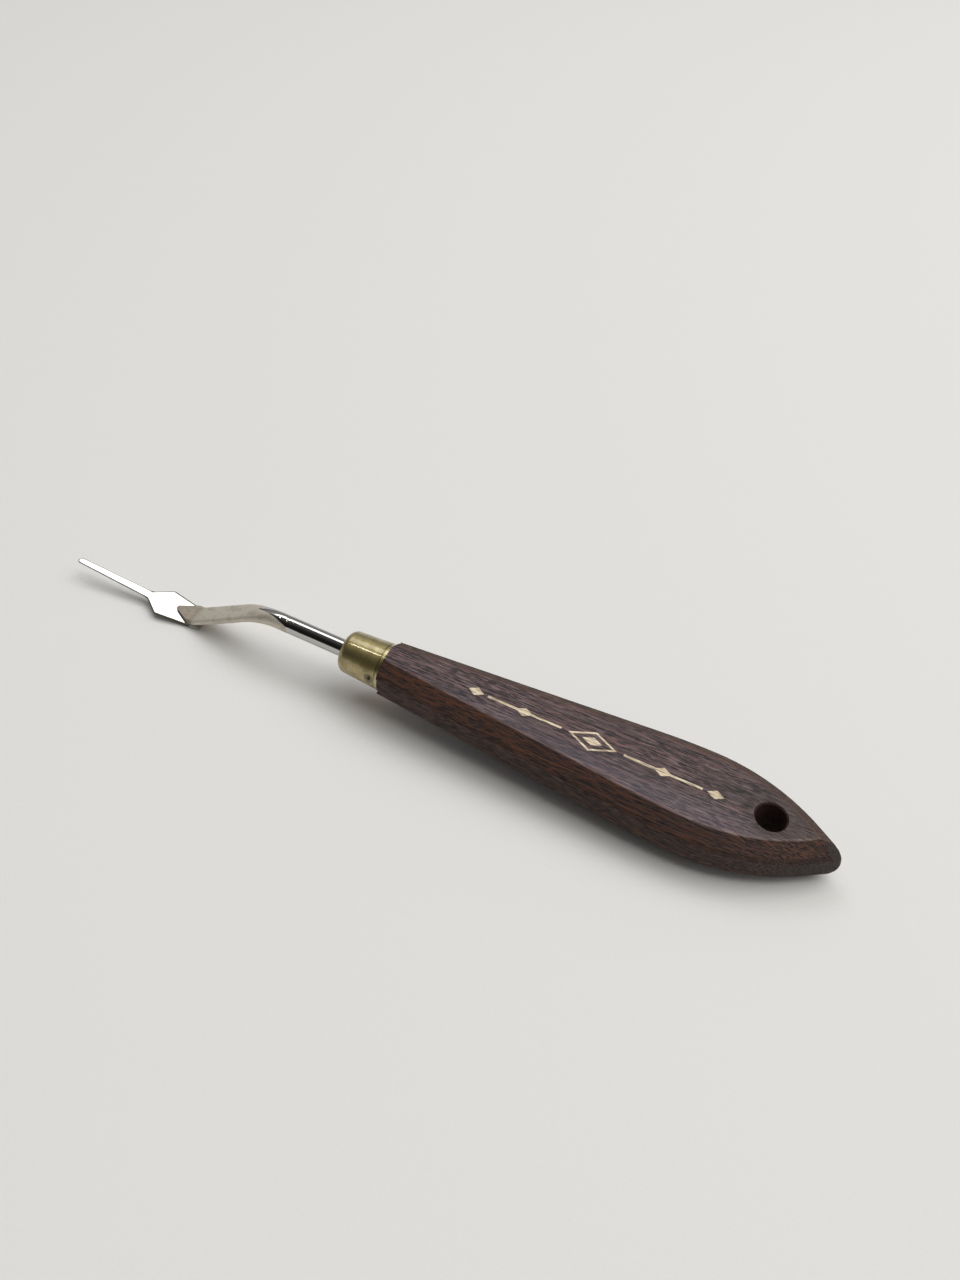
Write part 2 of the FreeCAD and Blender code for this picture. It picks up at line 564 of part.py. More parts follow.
def make_ferrule():
    """A drawn brass thimble: round nose with a hole for the rod, and a rim beside the wood."""
    body = new_body("ferrule")
    hole = "Sizes.rod_diameter / 2 + Sizes.rod_clearance"
    wall = "Sizes.ferrule_wall"
    nose = "-Sizes.ferrule_length"
    front = "Sizes.ferrule_front_diameter / 2"
    rear = "Sizes.ferrule_rear_diameter / 2"
    profile = closed_outline(new_sketch(body, "ferrule_profile", "XY_Plane"), (
        ("hole_front", nose, hole),
        ("nose", nose, front, "Sizes.ferrule_nose_radius"),
        ("rear", "0", rear),
        ("rear_inside", "0", f"{rear} - {wall}"),
        ("corner_inside", f"{nose} + Sizes.ferrule_nose_radius", f"{front} - {wall}"),
        ("nose_inside", f"{nose} + {wall}", f"{front} - Sizes.ferrule_nose_radius"),
        ("hole_inside", f"{nose} + {wall}", hole),
    ))
    turned(body, "Revolution", "thimble", profile)
    doc.recompute()
    # The punch pushes the brass into the wood. The back of the dimple starts in the middle of the wall.
    punched(body, "AdditiveCone", "dimple_back", wall, f"-{wall} / 2")
    doc.recompute()
    punched(body, "SubtractiveCone", "dimple", "0", "Sizes.dimple_sink")
    doc.recompute()
    groove_rear = "-Sizes.ferrule_rim_width"
    groove_front = f"{groove_rear} - Sizes.ferrule_groove_width"
    groove = closed_outline(new_sketch(body, "rim_groove", "XY_Plane"), (
        ("groove_floor", f"({groove_rear} + {groove_front}) / 2", f"{rear} - Sizes.ferrule_groove_depth"),
        ("groove_behind", groove_rear, f"{rear} + {wall}"),
        ("groove_ahead", groove_front, f"{rear} + {wall}"),
    ))
    turned(body, "Groove", "rim_line", groove)
    lie_at_rest(body)
    return body


# ---------------------------------------------------------------- the handle


def arc_about(centre, start, stop):
    """The short arc between two points, bulging away from its centre."""
    outward = ((start + stop) / 2 - centre).normalize()
    return Part.Arc(start, centre + outward * (start - centre).Length, stop)


def plan_of_handle(body):
    """Straight flanks, a level belly arc, and two tail arcs with straight ends that meet on the axis."""
    sketch = new_sketch(body, "handle_plan", "XY_Plane")
    front = value_of(sketch, "Sizes.handle_front_width / 2")
    belly = FreeCAD.Vector(value_of(sketch, "Sizes.belly_station"), value_of(sketch, "Sizes.belly_width / 2"), 0)
    flank_end_x = value_of(sketch, "Sizes.flank_length")
    # The flank and the belly arc share a tangent, so the flank's angle is twice that of their chord.
    chord = belly.x - flank_end_x
    flank_slope = (belly.y - front) / (flank_end_x + chord / 2)
    flank_end = FreeCAD.Vector(flank_end_x, front + flank_slope * flank_end_x, 0)
    belly_radius = chord / math.sin(math.atan(flank_slope))
    tail_radius = value_of(sketch, "Layout.tail_arc")
    tail_end_x = belly.x + tail_radius * value_of(sketch, "Layout.tail_sine")
    tail_end_y = belly.y - tail_radius * (1 - value_of(sketch, "Layout.tail_cosine"))
    apex = FreeCAD.Vector(value_of(sketch, "Layout.apex_x"), 0, 0)

    butt = sketch.addGeometry(
        Part.LineSegment(FreeCAD.Vector(0, -front, 0), FreeCAD.Vector(0, front, 0)), False)
    pin(sketch, butt, 1, "front_near", "0", "-Sizes.handle_front_width / 2")
    pin(sketch, butt, 2, "front_far", "0", "Sizes.handle_front_width / 2")
    straights = []
    for side, end, corner in ((1, "far", 2), (-1, "near", 1)):
        start = FreeCAD.Vector(0, side * front, 0)
        stop = FreeCAD.Vector(flank_end.x, side * flank_end.y, 0)
        widest = FreeCAD.Vector(belly.x, side * belly.y, 0)
        flank = sketch.addGeometry(Part.LineSegment(start, stop), False)
        belly_centre = FreeCAD.Vector(belly.x, side * (belly.y - belly_radius), 0)
        tail_centre = FreeCAD.Vector(belly.x, side * (belly.y - tail_radius), 0)
        belly_arc = sketch.addGeometry(arc_about(belly_centre, stop, widest), False)
        tail_end = FreeCAD.Vector(tail_end_x, side * tail_end_y, 0)
        tail_arc = sketch.addGeometry(arc_about(tail_centre, widest, tail_end), False)
        straight = sketch.addGeometry(Part.LineSegment(tail_end, apex), False)
        # A sketch's arc runs anticlockwise: on the far side these start at their rear ends.
        first, last = (2, 1) if side > 0 else (1, 2)
        sketch.addConstraint(Sketcher.Constraint("Coincident", butt, corner, flank, 1))
        sketch.addConstraint(Sketcher.Constraint("Tangent", flank, 2, belly_arc, first))
        sketch.addConstraint(Sketcher.Constraint("Tangent", belly_arc, last, tail_arc, first))
        sketch.addConstraint(Sketcher.Constraint("Tangent", tail_arc, last, straight, 1))
        sketch.addConstraint(Sketcher.Constraint("Vertical", belly_arc, 3, belly_arc, last))
        pin(sketch, belly_arc, last, end + "_belly", "Sizes.belly_station", f"{side} * Sizes.belly_width / 2")
        reach = Sketcher.Constraint("DistanceX", -1, 1, flank, 2, flank_end.x)
        bind(sketch, sketch.addConstraint(reach), end + "_flank", "Sizes.flank_length")
        round_tail = Sketcher.Constraint("Radius", tail_arc, tail_radius)
        bind(sketch, sketch.addConstraint(round_tail), end + "_tail", "Layout.tail_arc")
        straights.append(straight)
    far_straight, near_straight = straights
    sketch.addConstraint(Sketcher.Constraint("Coincident", far_straight, 2, near_straight, 2))
    pin(sketch, far_straight, 2, "apex", "Layout.apex_x", "0")
    return sketch


def behind_the_tail(body):
    """Everything behind the small arc that rounds the tail in plan."""
    sketch = new_sketch(body, "tail_plan", "XY_Plane")
    radius = value_of(sketch, "Layout.tail_radius")
    centre = FreeCAD.Vector(value_of(sketch, "Sizes.handle_length - Layout.tail_radius"), 0, 0)
    # The arc ends where it touches the two straights, square to them from its centre.
    touch_x = centre.x + radius * value_of(sketch, "Layout.tail_sine")
    touch_y = radius * value_of(sketch, "Layout.tail_cosine")
    behind_x = value_of(sketch, "Layout.apex_x + Sizes.tail_trim")
    corners = (
        FreeCAD.Vector(touch_x, touch_y, 0),
        FreeCAD.Vector(behind_x, touch_y, 0),
        FreeCAD.Vector(behind_x, -touch_y, 0),
        FreeCAD.Vector(touch_x, -touch_y, 0),
    )
    nose = sketch.addGeometry(arc_about(centre, corners[-1], corners[0]), False)
    sides = [sketch.addGeometry(Part.LineSegment(a, b), False) for a, b in zip(corners, corners[1:])]
    sketch.addConstraint(Sketcher.Constraint("Coincident", nose, 2, sides[0], 1))
    sketch.addConstraint(Sketcher.Constraint("Coincident", sides[0], 2, sides[1], 1))
    sketch.addConstraint(Sketcher.Constraint("Coincident", sides[1], 2, sides[2], 1))
    sketch.addConstraint(Sketcher.Constraint("Coincident", sides[2], 2, nose, 1))
    pin(sketch, nose, 3, "nose_centre", "Sizes.handle_length - Layout.tail_radius", "0")
    size = Sketcher.Constraint("Radius", nose, radius)
    bind(sketch, sketch.addConstraint(size), "nose_radius", "Layout.tail_radius")
    height = Sketcher.Constraint("DistanceY", nose, 1, nose, 2, 2 * touch_y)
    bind(sketch, sketch.addConstraint(height), "nose_height", "2 * Layout.tail_radius * Layout.tail_cosine")
    sketch.addConstraint(Sketcher.Constraint("Symmetric", nose, 1, nose, 2, -1))
    sketch.addConstraint(Sketcher.Constraint("Horizontal", sides[0]))
    sketch.addConstraint(Sketcher.Constraint("Horizontal", sides[2]))
    sketch.addConstraint(Sketcher.Constraint("Vertical", sides[1]))
    back = Sketcher.Constraint("DistanceX", -1, 1, sides[1], 1, behind_x)
    bind(sketch, sketch.addConstraint(back), "behind", "Layout.apex_x + Sizes.tail_trim")
    return sketch


def over_the_tail(body):
    """Everything above, below and behind the tail's rounding, seen from the side."""
    half = "Sizes.handle_thickness / 2"
    behind = "Layout.side_point_x + Sizes.tail_side_radius"
    return closed_outline(new_sketch(body, "tail_side", "XZ_Plane"), (
        ("top", "Layout.side_top_x", half),
        ("side_point", "Layout.side_point_x", "0", "Sizes.tail_side_radius"),
        ("underside", "Layout.side_top_x", "-" + half),
        ("behind_underside", behind, "-" + half),
        ("behind_top", behind, half),
    ))


def round_edges(shape, radius, height):
    """Circular edges of one radius at plus or minus one height."""
    names = []
    for number, edge in enumerate(shape.Edges, start=1):
        if edge.Degenerated or not isinstance(edge.Curve, Part.Circle):
            continue
        if math.isclose(edge.Curve.Radius, radius) and math.isclose(abs(edge.Curve.Center.z), height):
            names.append(f"Edge{number}")
    return names


def make_handle():
    """Planed wood, cut to its plan, bevelled along its four long edges, bored for the tang and the hook."""
    body = new_body("handle")
    blank = add_feature(body, "Pad", "planed_blank", plan_of_handle(body), Midplane=True)
    blank.setExpression("Length", "Sizes.handle_thickness")
    doc.recompute()

    half_thickness = sheet.handle_thickness / 2
    bevels = body.newObject("PartDesign::Chamfer", "bevels")
    bevels.Base = (blank, level_edges(blank.Shape, half_thickness, beyond=TOUCHING))
    bevels.ChamferType = "Two distances"
    bevels.setExpression("Size", "Sizes.bevel_depth")
    bevels.setExpression("Size2", "Sizes.bevel_width")
    doc.recompute()

    # The tail's point is rounded off in plan, and then seen from the side.
    tail = add_feature(body, "Pocket", "rounded_tail", behind_the_tail(body), Type="ThroughAll", Midplane=True)
    doc.recompute()

    # Sandpaper rounds the bevels' upper edges and breaks their lower ones.
    upper = body.newObject("PartDesign::Fillet", "sanded_faces")
    upper.Base = (tail, level_edges(tail.Shape, half_thickness, beyond=TOUCHING))
    upper.setExpression("Radius", "Sizes.edge_sanding")
    doc.recompute()
    sloped = add_feature(body, "Pocket", "rounded_tail_side", over_the_tail(body),
                         Type="ThroughAll", Midplane=True)
    doc.recompute()
    lower = body.newObject("PartDesign::Chamfer", "eased_sides")
    lower.Base = (sloped, level_edges(sloped.Shape, half_thickness - sheet.bevel_depth, beyond=TOUCHING))
    lower.setExpression("Size", "Sizes.side_easing")
    doc.recompute()

    # The front corners are turned back to meet the ferrule.
    step = "Sizes.ferrule_rear_diameter / 2 + Sizes.shoulder_step"
    corners = closed_outline(new_sketch(body, "front_corners", "XY_Plane"), (
        ("ease_front", "0", step),
        ("ease_rear", "Sizes.shoulder_ease", f"{step} + Sizes.shoulder_ease"),
        ("ease_out", "0", f"{step} + Sizes.shoulder_ease"),
    ))
    turned(body, "Groove", "turned_front", corners)
    doc.recompute()

    # The spigot fills the ferrule, with its front corner cut back inside the ferrule's nose.
    inside = "(Sizes.ferrule_wall + Sizes.ferrule_clearance)"
    spigot_front = "-(Sizes.ferrule_length - Sizes.ferrule_wall - Sizes.spigot_end_gap)"
    nose_inside = "(Sizes.ferrule_nose_radius - Sizes.ferrule_wall)"
    front_radius = f"(Sizes.ferrule_front_diameter / 2 - {inside})"
    bore = "(Sizes.rod_diameter / 2 + Sizes.rod_clearance)"
    spigot = closed_outline(new_sketch(body, "spigot_profile", "XY_Plane"), (
        ("spigot_axis", spigot_front, "0"),
        ("spigot_nose", spigot_front, f"{front_radius} - {nose_inside}"),
        ("spigot_corner", f"{spigot_front} + {nose_inside}", f"{front_radius}"),
        ("spigot_rear", "0", f"Sizes.ferrule_rear_diameter / 2 - {inside}"),
        ("spigot_root", "Sizes.shoulder_ease", f"Sizes.ferrule_rear_diameter / 2 - {inside}"),
        ("spigot_root_axis", "Sizes.shoulder_ease", "0"),
    ))
    turned(body, "Revolution", "spigot", spigot)
    doc.recompute()
    punched(body, "SubtractiveCone", "dimple_seat", inside, "0")
    doc.recompute()

    # The bore follows the tang, with room all round and behind it.
    tang = closed_outline(new_sketch(body, "tang_bore", "XY_Plane"), (
        ("bore_front_axis", f"{spigot_front} - Sizes.spigot_end_gap", "0"),
        ("bore_front", f"{spigot_front} - Sizes.spigot_end_gap", bore),
        ("bore_rear", "Sizes.tang_length - Sizes.tang_point + Sizes.tang_end_gap", bore),
        ("bore_end", "Sizes.tang_length + Sizes.tang_end_gap", "Sizes.tang_tip_diameter / 2"),
        ("bore_end_axis", "Sizes.tang_length + Sizes.tang_end_gap", "0"),
    ))
    turned(body, "Groove", "tang_bore_cut", tang)
    doc.recompute()

    hole = circle(new_sketch(body, "hanging_hole_plan", "XY_Plane"),
                  "Sizes.handle_length - Sizes.hanging_hole_setback", "0", "Sizes.hanging_hole_diameter")
    drilled = add_feature(body, "Pocket", "hanging_hole", hole, Type="ThroughAll", Midplane=True)
    doc.recompute()
    rims = body.newObject("PartDesign::Chamfer", "hole_rims")
    rims.Base = (drilled, round_edges(drilled.Shape, sheet.hanging_hole_diameter / 2, half_thickness))
    rims.setExpression("Size", "Sizes.hanging_hole_ease")
    doc.recompute()
    lie_at_rest(body)
    return body


# ---------------------------------------------------------------- the whole knife

bodies = [make_blade(), make_shank(), make_ferrule(), make_handle()]
doc.recompute()

for thing in doc.Objects:
    if "Invalid" in thing.State or "Error" in thing.State:
        raise RuntimeError(f"{thing.Label} failed: {thing.State}")
for body in bodies:
    if body.Shape.isNull() or not body.Shape.isValid() or len(body.Shape.Solids) != 1:
        raise RuntimeError(f"{body.Label} is not one sound solid")

os.makedirs("parts", exist_ok=True)
for body in bodies:
    body.Shape.exportStep(f"parts/{body.Label}.step")
    box = body.Shape.optimalBoundingBox()
    size = f"{box.XLength:.2f} x {box.YLength:.2f} x {box.ZLength:.2f} mm"
    print(f"{body.Label}: {size}, {body.Shape.Volume:.1f} mm3")
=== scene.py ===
# %% [markdown]
# # A palette knife for oil painting
# The real thing is four pieces: a springy steel blade like a small trowel, a cranked steel shank that is
# pressed flat in front and stays a round polished rod behind, a brass ferrule, and a bevelled hardwood
# handle with a hanging hole. The solid model fixes every size, so this script only dresses it: it lays a
# table, lights it, works out the finishes, and gives each piece the skin that a maker's hands leave on it.

# %% Start from the solid model
import json
import math

import bpy
from mathutils import Matrix, Vector


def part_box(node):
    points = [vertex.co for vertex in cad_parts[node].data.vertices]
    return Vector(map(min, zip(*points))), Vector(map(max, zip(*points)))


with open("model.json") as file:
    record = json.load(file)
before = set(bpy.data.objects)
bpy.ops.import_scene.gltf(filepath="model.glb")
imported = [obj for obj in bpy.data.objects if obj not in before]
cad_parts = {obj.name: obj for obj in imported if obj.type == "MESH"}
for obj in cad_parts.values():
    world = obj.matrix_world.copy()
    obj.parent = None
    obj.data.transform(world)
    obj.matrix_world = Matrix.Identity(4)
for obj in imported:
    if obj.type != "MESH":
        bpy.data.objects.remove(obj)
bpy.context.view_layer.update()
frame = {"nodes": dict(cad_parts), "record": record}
nodes = frame["nodes"]

# %% [markdown]
# ## Where the knife lies
# The knife rests on the table on two places, the blade's heel and the end of the handle's flat underside,
# so its own axis leans a little. The finishes are easier to think of along the knife itself: so many
# millimetres back from the ferrule's shoulder, so many to the side, so many up. The model's record tells
# where the hanging hole is drilled and which way, and that is enough to find the lean and the shoulder.

# %% The knife's own axes
MM = 0.001
HOLE_STATION = 80.5
HOLE_RADIUS = 3.0

drilled = next(mount for mount in frame["record"]["mounts"] if mount["name"] == "hanging_hole")
lean = math.atan2(drilled["axis"][0], drilled["axis"][2])
backwards = Vector((math.cos(lean), 0.0, -math.sin(lean)))
knife_up = Vector((math.sin(lean), 0.0, math.cos(lean)))
shoulder = Vector(drilled["pos_m"]) - HOLE_STATION * MM * backwards
print("the knife leans", round(math.degrees(lean), 2), "degrees; its shoulder is at",
      [round(value / MM, 2) for value in shoulder], "mm")

# %% [markdown]
# ## Colours
# A maker names a colour as it looks on a swatch card, but Blender's shaders mix light in linear values. One
# small helper turns the swatch numbers into linear ones, so that every finish below can be written as the
# eye would name it.

# %% Colours as the eye names them
def swatch(red, green, blue):
    """A colour given as 0 to 255 swatch values, as linear light with an opaque alpha."""
    def linear(level):
        level = level / 255
        return level / 12.92 if level <= 0.04045 else ((level + 0.055) / 1.055) ** 2.4
    return (linear(red), linear(green), linear(blue), 1.0)


PAPER = swatch(222, 221, 219)
print("paper, linear:", [round(value, 3) for value in PAPER[:3]])

# %% [markdown]
# ## The camera
# The knife is looked at from its near side, from above and a little behind its middle, from close by. A
# camera can be placed by typing in its rotation, but whoever holds one thinks of a spot on the table, a
# heading, how far the lens looks down, and how straight it is held, so those four make the camera here.

# %% Camera
SPOT = Vector((0.00346, 0.02401, 0.0))
CAMERA_DISTANCE = 0.23575
HEADING = math.radians(25.85)
LOOKING_DOWN = math.radians(47.31)
HELD_ASKEW = math.radians(-1.03)
SENSOR_WIDTH = 36.0
FOCAL_LENGTH = 29.5

forward = Vector((-math.sin(HEADING) * math.cos(LOOKING_DOWN),
                  math.cos(HEADING) * math.cos(LOOKING_DOWN),
                  -math.sin(LOOKING_DOWN)))
camera = bpy.data.objects.new("camera", bpy.data.cameras.new("camera"))
bpy.context.scene.collection.objects.link(camera)
camera.location = SPOT - forward * CAMERA_DISTANCE
level = forward.to_track_quat("-Z", "Y").to_matrix().to_4x4()
camera.rotation_euler = (level @ Matrix.Rotation(-HELD_ASKEW, 4, "Z")).to_euler()
camera.data.sensor_width = SENSOR_WIDTH
camera.data.lens = FOCAL_LENGTH
camera.data.clip_start = 10 * MM
bpy.context.scene.camera = camera
print("camera at", [round(value / MM, 1) for value in camera.location], "mm")

# %% [markdown]
# ## Wiring
# A finish in Blender is a small net of nodes: patterns on the left, the surface on the right. Building such
# a net by mouse is pleasant, but a script needs a few short words for it, or the wiring drowns the recipe.
# This bench gives one word for each step that a finisher thinks in: place a pattern, compare, add, cover
# one colour with another. Each word gives back the socket that carries its result.

# %% Short words for wiring nodes
class Bench:
    """A node tree, with a short word for each step of a recipe."""

    def __init__(self, tree):
        self.tree = tree

    def add(self, kind, inputs=None, **settings):
        node = self.tree.nodes.new("ShaderNode" + kind)
        for name, value in settings.items():
            setattr(node, name, value)
        for name, value in (inputs or {}).items():
            self.feed(node.inputs[name], value)
        return node

    def feed(self, socket, value):
        if isinstance(value, bpy.types.NodeSocket):
            self.tree.links.new(value, socket)
        else:
            socket.default_value = value

    def calc(self, operation, *values):
        """One step of arithmetic on numbers."""
        return self.add("Math", dict(enumerate(values)), operation=operation).outputs[0]

    def times(self, *values):
        """All the values multiplied together."""
        product = values[0]
        for value in values[1:]:
            product = self.calc("MULTIPLY", product, value)
        return product

    def step(self, value, start, end, low=0.0, high=1.0):
        """A soft step from low to high while value goes from start to end."""
        node = self.add("MapRange", {"Value": value, "From Min": start, "From Max": end, "To Min": low,
                                     "To Max": high}, interpolation_type="SMOOTHSTEP")
        return node.outputs["Result"]

    def cover(self, amount, under, over):
        """The colour over laid on the colour under, by amount."""
        return self.add("Mix", {0: amount, 6: under, 7: over}, data_type="RGBA").outputs[2]


print("wiring words:", [word for word in vars(Bench) if not word.startswith("_")])

# %% [markdown]
# The other half of the bench is for patterns. Real surfaces vary in three ways that matter here: softly,
# like tarnish; in scattered spots, like pores; and by which way the surface faces, as a worn edge or end
# grain does. Blender's noise and cell textures give the first two once they are stretched, and the
# surface's own normal gives the third.

# %% Patterns for the bench
class PatternBench(Bench):
    """The bench with its patterns."""

    def stretched(self, where, scale):
        """A place multiplied along each axis, so that a round pattern becomes drawn out."""
        return self.add("VectorMath", {0: where, 1: scale}, operation="MULTIPLY").outputs[0]

    def cloud(self, where, scale, detail=2.0, roughness=0.5):
        """Soft random variation from 0 to 1."""
        node = self.add("TexNoise", {"Vector": self.stretched(where, scale), "Scale": 1.0, "Detail": detail,
                                     "Roughness": roughness})
        return node.outputs["Fac"]

    def cells(self, where, scale):
        """The distance to the nearest of many scattered seeds."""
        node = self.add("TexVoronoi", {"Vector": self.stretched(where, scale), "Scale": 1.0})
        return node.outputs["Distance"]

    def near(self, where, spot, outside, inside):
        """One close to a spot, fading to nothing away from it."""
        apart = self.add("VectorMath", {0: where, 1: spot}, operation="DISTANCE").outputs["Value"]
        return self.step(apart, outside, inside)

    def squareness(self, direction):
        """How squarely the surface faces along a direction, either way: 1 is square on, 0 is edge on."""
        normal = self.add("NewGeometry").outputs["Normal"]
        facing = self.add("VectorMath", {0: normal, 1: direction}, operation="DOT_PRODUCT").outputs["Value"]
        return self.calc("ABSOLUTE", facing)

    def relief(self, surface, height, depth, strength=1.0):
        """Lets a pattern stand out of the surface by a depth in millimetres."""
        bump = self.add("Bump", {"Height": height, "Strength": strength, "Distance": depth * MM})
        self.feed(surface.inputs["Normal"], bump.outputs["Normal"])


print("pattern words:", [word for word in vars(PatternBench) if not word.startswith("_")])

# %% [markdown]
# Every finish starts from the same empty surface, and asks the same question: where on the knife am I? The
# answer comes in the knife's own millimetres, so that a scale of one is one millimetre and a pore can be
# written at the width that a pore has.

# %% A new finish, measured in the knife's millimetres
def new_finish(name):
    """A new material with its bench, its surface node and the place on the knife in millimetres."""
    material = bpy.data.materials.new(name)
    material.use_nodes = True
    bench = PatternBench(material.node_tree)
    surface = material.node_tree.nodes["Principled BSDF"]
    place = bench.add("Mapping", {"Vector": bench.add("TexCoord").outputs["Object"], "Location": shoulder,
                                  "Rotation": (0.0, lean, 0.0), "Scale": (MM, MM, MM)}, vector_type="TEXTURE")
    return material, bench, surface, place.outputs["Vector"]


def split(bench, place):
    """The three measures of a place: along the knife, across it and up."""
    axes = bench.add("SeparateXYZ", {"Vector": place})
    return [axes.outputs[axis] for axis in "XYZ"]


def dress(node_name, material):
    """Lays a finish on every material slot of a piece."""
    for place in nodes[node_name].material_slots:
        place.material = material
    print(node_name, "is dressed in", material.name)


# %% [markdown]
# ## The table
# The knife lies on a sheet of pale drawing paper. Paper is not quite flat under raking light: it has a fine
# tooth. A plain plane is enough for the shape, because the tooth is far smaller than anything else here, so
# it is left to the bump of the paper's finish.

# %% Paper
TABLE_HALF = 1.6
corners = [(-TABLE_HALF, -TABLE_HALF, 0), (TABLE_HALF, -TABLE_HALF, 0),
           (TABLE_HALF, TABLE_HALF, 0), (-TABLE_HALF, TABLE_HALF, 0)]
table_mesh = bpy.data.meshes.new("paper_sheet")
table_mesh.from_pydata(corners, [], [(0, 1, 2, 3)])
table = bpy.data.objects.new("paper_sheet", table_mesh)
bpy.context.scene.collection.objects.link(table)

paper, bench, surface, place = new_finish("drawing_paper")
surface.inputs["Base Color"].default_value = PAPER
surface.inputs["Roughness"].default_value = 0.9
surface.inputs["Specular IOR Level"].default_value = 0.2
tooth = bench.cloud(place, (1.6, 1.6, 1.6), detail=3.0)
bench.relief(surface, tooth, depth=0.1, strength=0.25)
table_mesh.materials.append(paper)
print("table:", 2 * TABLE_HALF, "m wide")

# %% [markdown]
# ## The room
# Polished steel is a mirror, so half of its look is the room around it. A room can be modelled, but the
# metal only asks what each direction looks like: a white ceiling above, quieter walls, and a dim side where
# the person stands. The world's shader answers that question from the direction alone, so the limits below
# are parts of a direction: 0 is level and 1 is straight up, or straight out from the knife's far side. Its
# levels are kept plain, so that a colour on the knife comes out about as it was written, and its white is a
# little warm, as walls make it. Whoever looks past the table sees a pale backdrop instead, straight,
# through something clear, or low down in polished metal.

# %% Ceiling, walls and the dim side
CEILING = 1.38
WALLS = (0.16, 0.36)
DIM_SIDE = (0.10, 0.015)
BACKDROP = 0.78
ROOM_WHITE = (1.0, 0.992, 0.97, 1.0)
HORIZON = (0.16, 0.06)
WALL_RISE = (0.15, 0.45)
CEILING_EDGE = (0.66, 0.78)
OVERHEAD = (0.985, 0.95)
DIM_FADE = (0.1, -0.7)
DIM_EDGE = (0.27, 0.17)
DIM_MIDDLE = -0.25
DIM_HALF_WIDTH = (0.72, 0.52)

world = bpy.data.worlds.new("room")
world.use_nodes = True
bpy.context.scene.world = world
room = Bench(world.node_tree)
way = room.add("SeparateXYZ", {"Vector": room.add("TexCoord").outputs["Generated"]})
sideways, outwards, upwards = (way.outputs[axis] for axis in "XYZ")

walls = room.step(upwards, *WALL_RISE, *WALLS)
plain_room = room.step(upwards, *CEILING_EDGE, walls, CEILING)
dim_side = room.step(outwards, *DIM_FADE, *DIM_SIDE)
in_front = room.step(outwards, *DIM_EDGE)
not_overhead = room.step(upwards, *OVERHEAD)
from_middle = room.calc("ABSOLUTE", room.calc("SUBTRACT", sideways, DIM_MIDDLE))
dimmed = room.times(in_front, not_overhead, room.step(from_middle, *DIM_HALF_WIDTH))
brightness = room.add("Mix", {0: dimmed, 2: plain_room, 3: dim_side}).outputs[0]
looking = room.add("LightPath").outputs
low_in_metal = room.times(looking["Is Glossy Ray"], room.step(upwards, *HORIZON))
straight_or_through = room.calc("MAXIMUM", looking["Is Camera Ray"], looking["Is Transmission Ray"])
seen = room.calc("MAXIMUM", straight_or_through, low_in_metal)
shown = room.add("Mix", {0: seen, 2: brightness, 3: BACKDROP}).outputs[0]
room.feed(world.node_tree.nodes["Background"].inputs["Strength"], shown)
world.node_tree.nodes["Background"].inputs["Color"].default_value = ROOM_WHITE
print("ceiling", CEILING, "walls", WALLS, "dim side", DIM_SIDE)

# %% [markdown]
# ## The lamps
# Two broad ceiling panels light the knife from its far side, so its soft shadow falls towards us. A panel
# can be a lamp object with a size, and its brightness is easiest to choose as what a mirror would show of
# it. Blender asks for watts instead, so the helper turns the panel's brightness and size into watts. The
# far panel is a window, so its light is cooler, and the shadow that it throws is left to the warmer light
# of the room. The third lamp is a small yellowish bulb, there for the thin bright line that a round piece
# of brass shows.

# %% Two panels and a bulb
LAMP_DISTANCE = 1.5
DAYLIGHT = (0.95, 0.99, 1.10)
WARM_WHITE = (1.0, 0.99, 0.97)
BULB = (1.0, 0.96, 0.74)


def panel(name, towards, wide, deep, brightness, colour):
    """A flat lamp in the direction towards, wide and deep in degrees, facing the knife."""
    lamp = bpy.data.lights.new(name, "AREA")
    lamp.shape = "RECTANGLE"
    lamp.size = 2 * LAMP_DISTANCE * math.tan(math.radians(wide / 2))
    lamp.size_y = 2 * LAMP_DISTANCE * math.tan(math.radians(deep / 2))
    lamp.energy = brightness * math.pi * lamp.size * lamp.size_y
    lamp.color = colour
    hung = bpy.data.objects.new(name, lamp)
    direction = Vector(towards).normalized()
    hung.location = LAMP_DISTANCE * direction
    hung.rotation_euler = (-direction).to_track_quat("-Z", "Y").to_euler()
    bpy.context.scene.collection.objects.link(hung)
    print(name, round(lamp.energy, 2), "W")


panel("far_panel", (-0.38, 0.42, 0.82), 30.0, 15.0, 2.05, DAYLIGHT)
panel("right_panel", (0.45, 0.25, 0.86), 44.0, 44.0, 2.85, WARM_WHITE)
panel("streak_lamp", (-0.40, 0.025, 0.914), 5.0, 1.7, 22.0, BULB)

# %% [markdown]
# ## Polished steel
# The blade is stamped from thin spring steel, ground and buffed until it mirrors. A buffed blade is never a
# perfect mirror: the wheel leaves hair-fine lines across it, and handling leaves faint dull patches. The
# wheel does not reach the ground edge all round, which stays dull. Its colour is painted darker too, a
# painted reflection that gives the blade a thin dark outline, widest on the far side and narrower on the
# near side and at the heel. To know how near a spot is to the edge, the finish carries the blade's own
# outline: its half width at four stations behind one another, with straight runs between them, which a
# colour ramp can hold.

# %% Blade: where the edge is
OUTLINE = ((0.0, 2.35), (11.2, 3.85), (15.2, 1.05), (35.4, 0.73))
WIDEST = 4.0
EDGE_BAND = (0.48, 0.22)
NARROWER_BY = 0.2


def station(x, z):
    """How far along the knife a point of the middle plane is, in millimetres behind the shoulder."""
    return (Vector((x, 0.0, z)) - shoulder).dot(backwards) / MM


blade_low, blade_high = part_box("blade")
heel_station = station(blade_high[0], blade_low[2])
tip_station = station(blade_low[0], blade_high[2])

